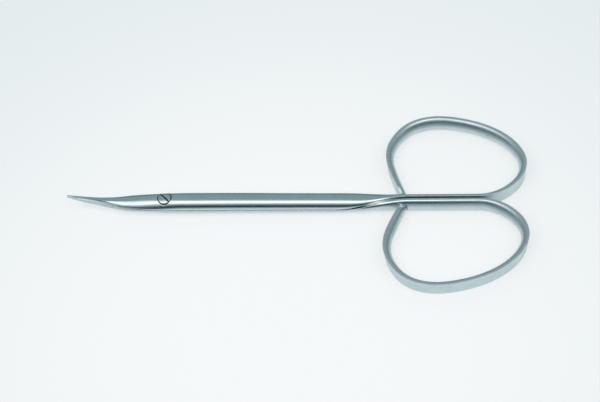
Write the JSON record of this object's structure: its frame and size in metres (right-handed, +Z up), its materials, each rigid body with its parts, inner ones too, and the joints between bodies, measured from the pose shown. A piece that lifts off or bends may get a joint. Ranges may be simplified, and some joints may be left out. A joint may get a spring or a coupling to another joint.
{
  "type": "suture scissors",
  "caption": "Small curved suture scissors with slim upturned blades, a flush slotted pivot screw and flat ribbon handles bent into finger rings.",
  "frame": {"origin": "centre of the closed scissors' bounding box, at the height of the surface that they lie on", "axes": "+X from the tips to the finger rings, +Y towards the upper half's ring, +Z up out of the surface that the scissors lie on"},
  "size_m": [0.115, 0.0524, 0.0058],
  "materials": {
    "upper_half": "fine satin stainless steel",
    "lower_half": "fine satin stainless steel",
    "pivot_screw": "stainless steel, ground flush with the shank",
    "upper_ring_braze": "dull silver braze",
    "lower_ring_braze": "dull silver braze"
  },
  "bodies": {
    "lower": {"lower_half": "lower_half", "pivot_screw": "pivot_screw", "lower_ring_braze": "lower_ring_braze"},
    "upper": {"upper_half": "upper_half", "upper_ring_braze": "upper_ring_braze"}
  },
  "joints": [
    {"name": "pivot", "type": "hinge", "parent": "lower", "child": "upper", "pos_m": [-0.03275, 0, 0.00245], "axis": [0, 0, 1], "range_deg": [0, 60]}
  ]
}
